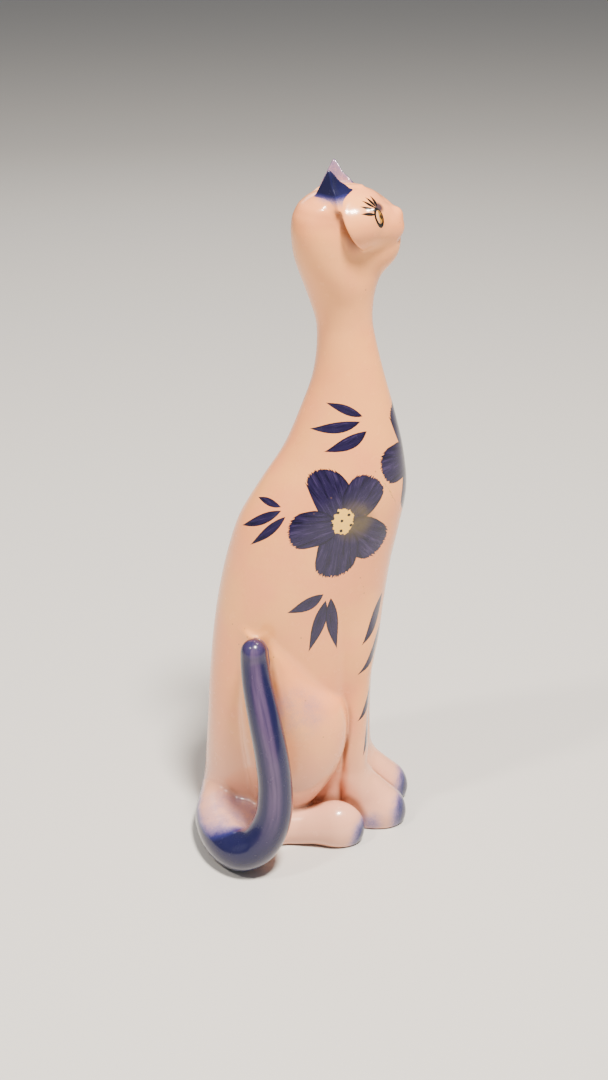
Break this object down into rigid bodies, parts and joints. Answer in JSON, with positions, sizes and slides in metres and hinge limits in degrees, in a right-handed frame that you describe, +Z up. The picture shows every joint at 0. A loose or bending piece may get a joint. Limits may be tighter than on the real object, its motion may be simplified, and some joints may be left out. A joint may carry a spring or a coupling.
{
  "type": "cat figurine",
  "caption": "Tall seated ceramic cat looking up, with a long neck and a blue tail that wraps its right side and rises; glazed cream with painted blue flowers.",
  "frame": {"origin": "on the table plane, at the middle of the footprint's length and on the body's plane of symmetry, on the underside of the floor", "axes": "+X the way the cat faces, +Y to its left, +Z up"},
  "size_m": [0.145, 0.1479, 0.45],
  "materials": {
    "glazed_cream": "gloss",
    "glazed_pale": "gloss",
    "glazed_ear_blue": "gloss",
    "glazed_tail_blue": "gloss",
    "bare_clay": "matte"
  },
  "bodies": {
    "root": {"body_shell": "glazed_cream", "head_shell": "glazed_cream", "right_ear": "glazed_ear_blue", "left_ear": "glazed_ear_blue", "right_haunch": "glazed_cream", "left_haunch": "glazed_cream", "right_hind_paw": "glazed_pale", "left_hind_paw": "glazed_pale", "right_foreleg": "glazed_pale", "left_foreleg": "glazed_pale", "tail": "glazed_tail_blue", "base_floor": "bare_clay"}
  },
  "joints": []
}
